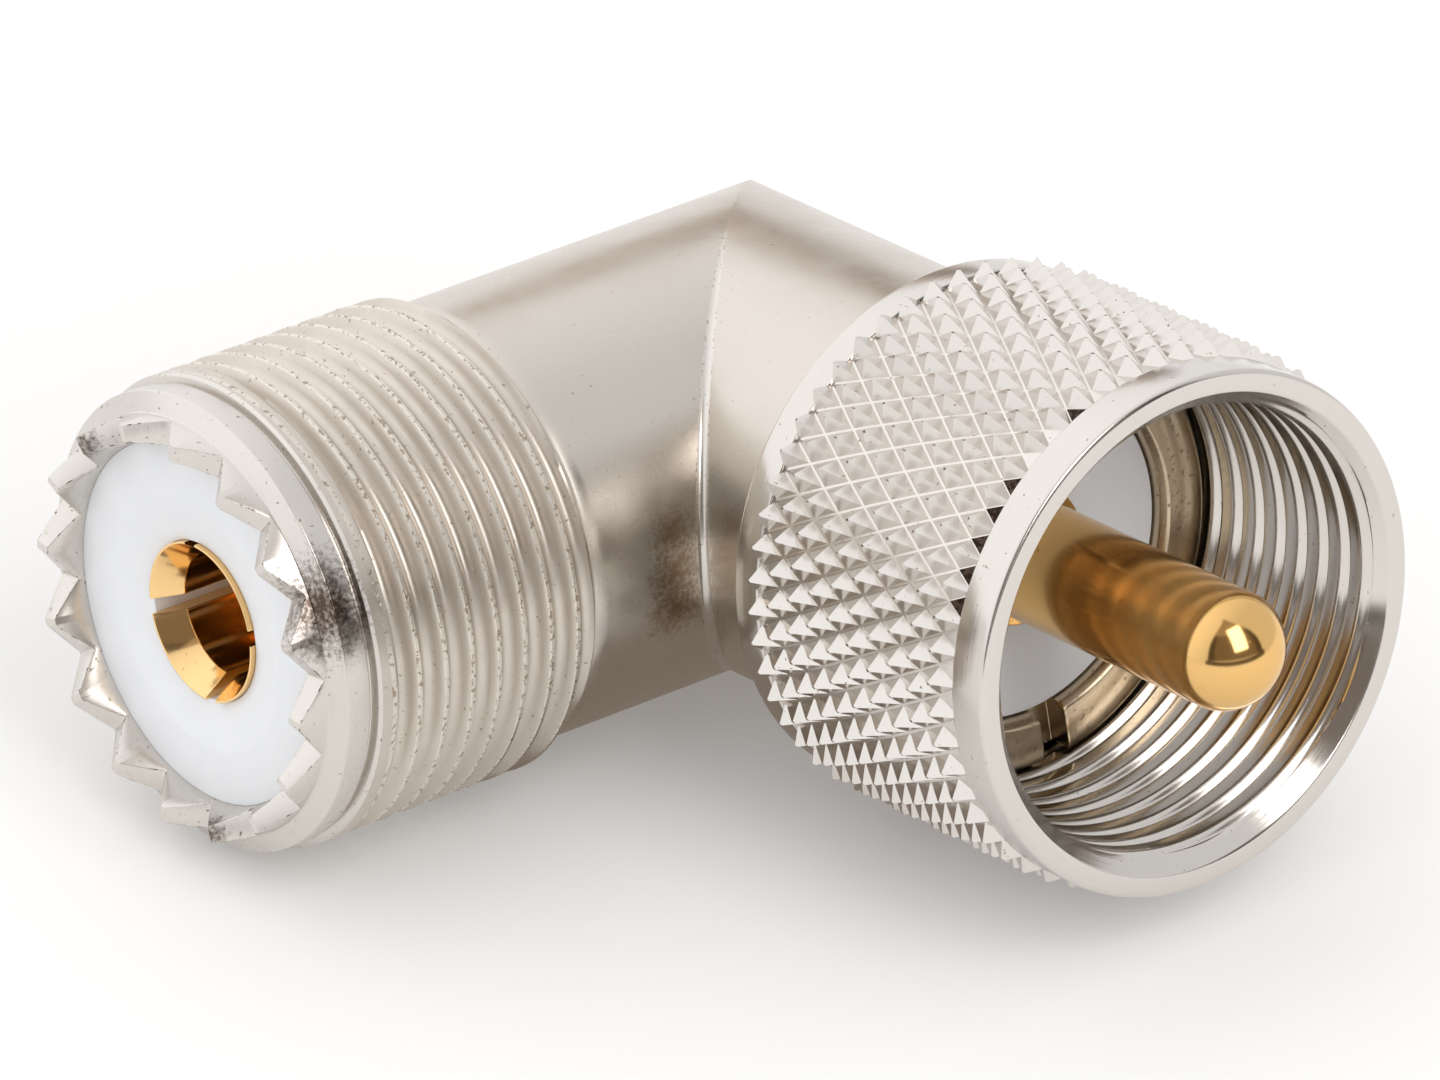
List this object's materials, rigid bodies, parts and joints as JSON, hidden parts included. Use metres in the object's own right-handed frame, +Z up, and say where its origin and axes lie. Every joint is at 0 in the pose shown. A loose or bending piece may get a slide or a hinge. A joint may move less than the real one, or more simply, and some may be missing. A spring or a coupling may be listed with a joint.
{
  "type": "right-angle coaxial adapter",
  "caption": "Right-angle coaxial adapter: a plug with a knurled coupling nut on one arm and a threaded socket with a toothed rim on the other.",
  "frame": {"origin": "middle of the base of the box that bounds the adapter as it lies at rest", "axes": "+Z up; the plug arm points along +X, rising 8 degrees, and the socket arm points along -Y"},
  "size_m": [0.0342, 0.0328, 0.0196],
  "materials": {
    "elbow_nickel": "satin nickel plate on brass",
    "nut_nickel": "bright nickel plate on knurled brass",
    "shell_nickel": "nickel plate on turned brass",
    "fluoropolymer": "smooth white fluoropolymer",
    "gold": "gold plate on turned brass"
  },
  "bodies": {
    "adapter": {"elbow_body": "elbow_nickel", "plug_shell": "shell_nickel", "plug_insulator": "fluoropolymer", "socket_insulator": "fluoropolymer", "plug_pin": "gold", "socket_contact": "gold"},
    "nut": {"coupling_nut": "nut_nickel"}
  },
  "joints": [
    {"name": "nut_spin", "type": "hinge", "parent": "adapter", "child": "nut", "pos_m": [0.00102, 0.00726, 0.00885], "axis": [0.9903, 0, 0.1388], "continuous": true}
  ]
}
